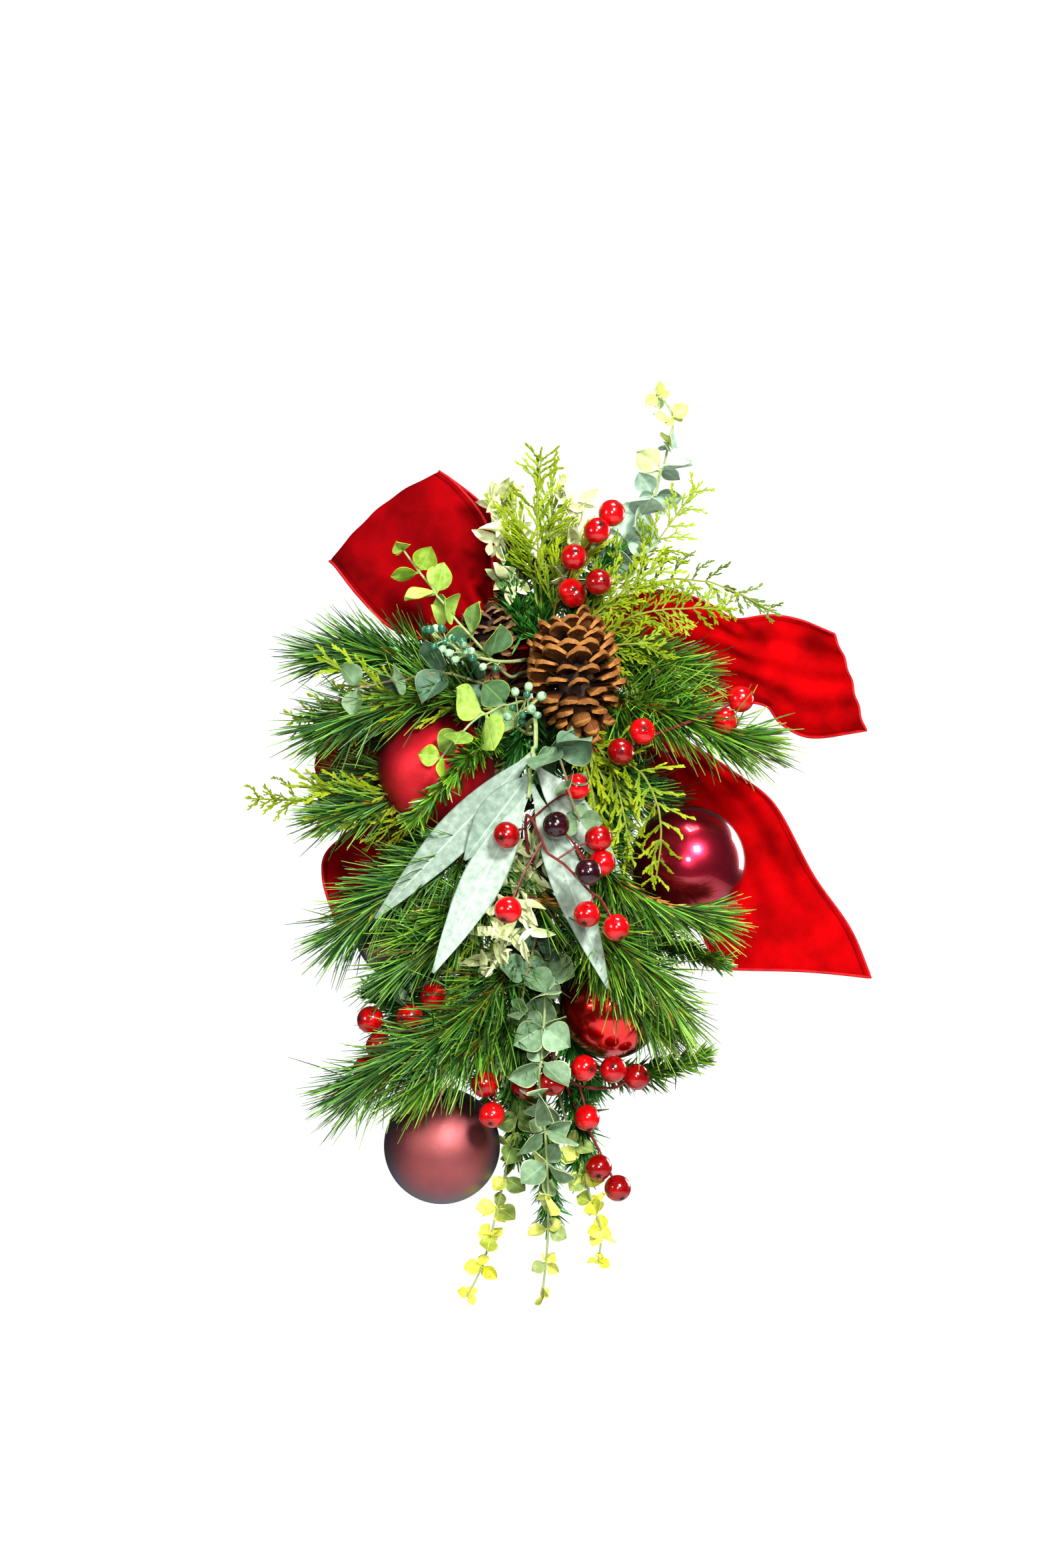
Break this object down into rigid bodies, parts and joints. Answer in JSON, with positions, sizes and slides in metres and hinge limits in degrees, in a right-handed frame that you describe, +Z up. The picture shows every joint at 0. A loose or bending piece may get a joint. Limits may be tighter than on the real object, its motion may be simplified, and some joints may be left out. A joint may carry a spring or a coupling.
{
  "type": "christmas door swag",
  "caption": "Hanging door swag of pine, cedar and eucalyptus with a velvet bow, baubles, pine cones and berries on a taped stem bundle.",
  "frame": {"origin": "top of the wire eye's hole on the door plane, where the hook bears", "axes": "+X to the viewer's right, +Y into the door, +Z up; the door's face is the plane Y = 0"},
  "size_m": [0.4329, 0.1811, 0.6359],
  "materials": {
    "stem_tape": "dark green crepe florist tape, matt",
    "hook_wire": "plain galvanised wire",
    "velvet_red": "deep red velvet ribbon with a stitched wired hem",
    "bauble_red_satin": "satin metallic red",
    "bauble_burgundy": "mirror-gloss burgundy",
    "bauble_mauve": "satin dusky mauve",
    "bauble_red_gloss": "mirror-gloss bright red",
    "cap_metal": "gold-coloured cap and wire",
    "cone_wood": "brown pine cone with tan scale rims",
    "willow_leaf": "grey-green leaf with a pale midrib",
    "berry_red": "glossy red berry with a dark calyx",
    "berry_dark": "glossy near-black burgundy berry",
    "eucalyptus_leaf": "grey-green round leaf, yellow-green at the tips",
    "seed_green": "teal-green seed bead",
    "pale_leaf": "cream-green leaflet",
    "cedar_green": "yellow-green cedar frond",
    "pine_green": "dark green pine needle",
    "fir_green": "dark green short needle"
  },
  "bodies": {
    "root": {"stem_bundle": "stem_tape", "hanger_eye": "hook_wire", "ribbon_bow": "velvet_red", "bauble_red_satin": "bauble_red_satin", "bauble_burgundy_right": "bauble_burgundy", "bauble_mauve": "bauble_mauve", "bauble_burgundy_left": "bauble_burgundy", "bauble_red_gloss": "bauble_red_gloss", "bauble_red_satin_cap": "cap_metal", "bauble_burgundy_right_cap": "cap_metal", "bauble_mauve_cap": "cap_metal", "bauble_burgundy_left_cap": "cap_metal", "bauble_red_gloss_cap": "cap_metal", "cone_front": "cone_wood", "cone_back": "cone_wood", "willow_leaves": "willow_leaf", "berries_front": "berry_red", "berries_dark": "berry_dark", "berries_top": "berry_red", "berries_right": "berry_red", "berries_left": "berry_red", "berries_low": "berry_red", "berries_foot": "berry_red", "seeds_upper": "seed_green", "seeds_lower": "seed_green", "eucalyptus_top": "eucalyptus_leaf", "eucalyptus_over_loop": "eucalyptus_leaf", "eucalyptus_left": "eucalyptus_leaf", "eucalyptus_over_bauble": "eucalyptus_leaf", "eucalyptus_centre": "eucalyptus_leaf", "eucalyptus_long": "eucalyptus_leaf", "eucalyptus_foot_right": "eucalyptus_leaf", "eucalyptus_foot_left": "eucalyptus_leaf", "eucalyptus_small_left": "eucalyptus_leaf", "eucalyptus_small_centre": "eucalyptus_leaf", "cream_spray_centre": "pale_leaf", "cream_spray_top_left": "pale_leaf", "cream_spray_top_right": "pale_leaf", "cedar_top": "cedar_green", "cedar_top_right": "cedar_green", "cedar_right": "cedar_green", "cedar_far_right": "cedar_green", "cedar_left": "cedar_green", "cedar_left_low": "cedar_green", "cedar_hanging": "cedar_green", "cedar_small": "cedar_green", "pine_left": "pine_green", "pine_left_high": "pine_green", "pine_left_middle": "pine_green", "pine_left_low": "pine_green", "pine_right": "pine_green", "pine_right_middle": "pine_green", "pine_right_low": "pine_green", "fir_left": "fir_green", "fir_right": "fir_green", "fir_right_middle": "fir_green", "fir_right_low": "fir_green", "fir_foot": "fir_green", "fir_left_low": "fir_green"}
  },
  "joints": []
}
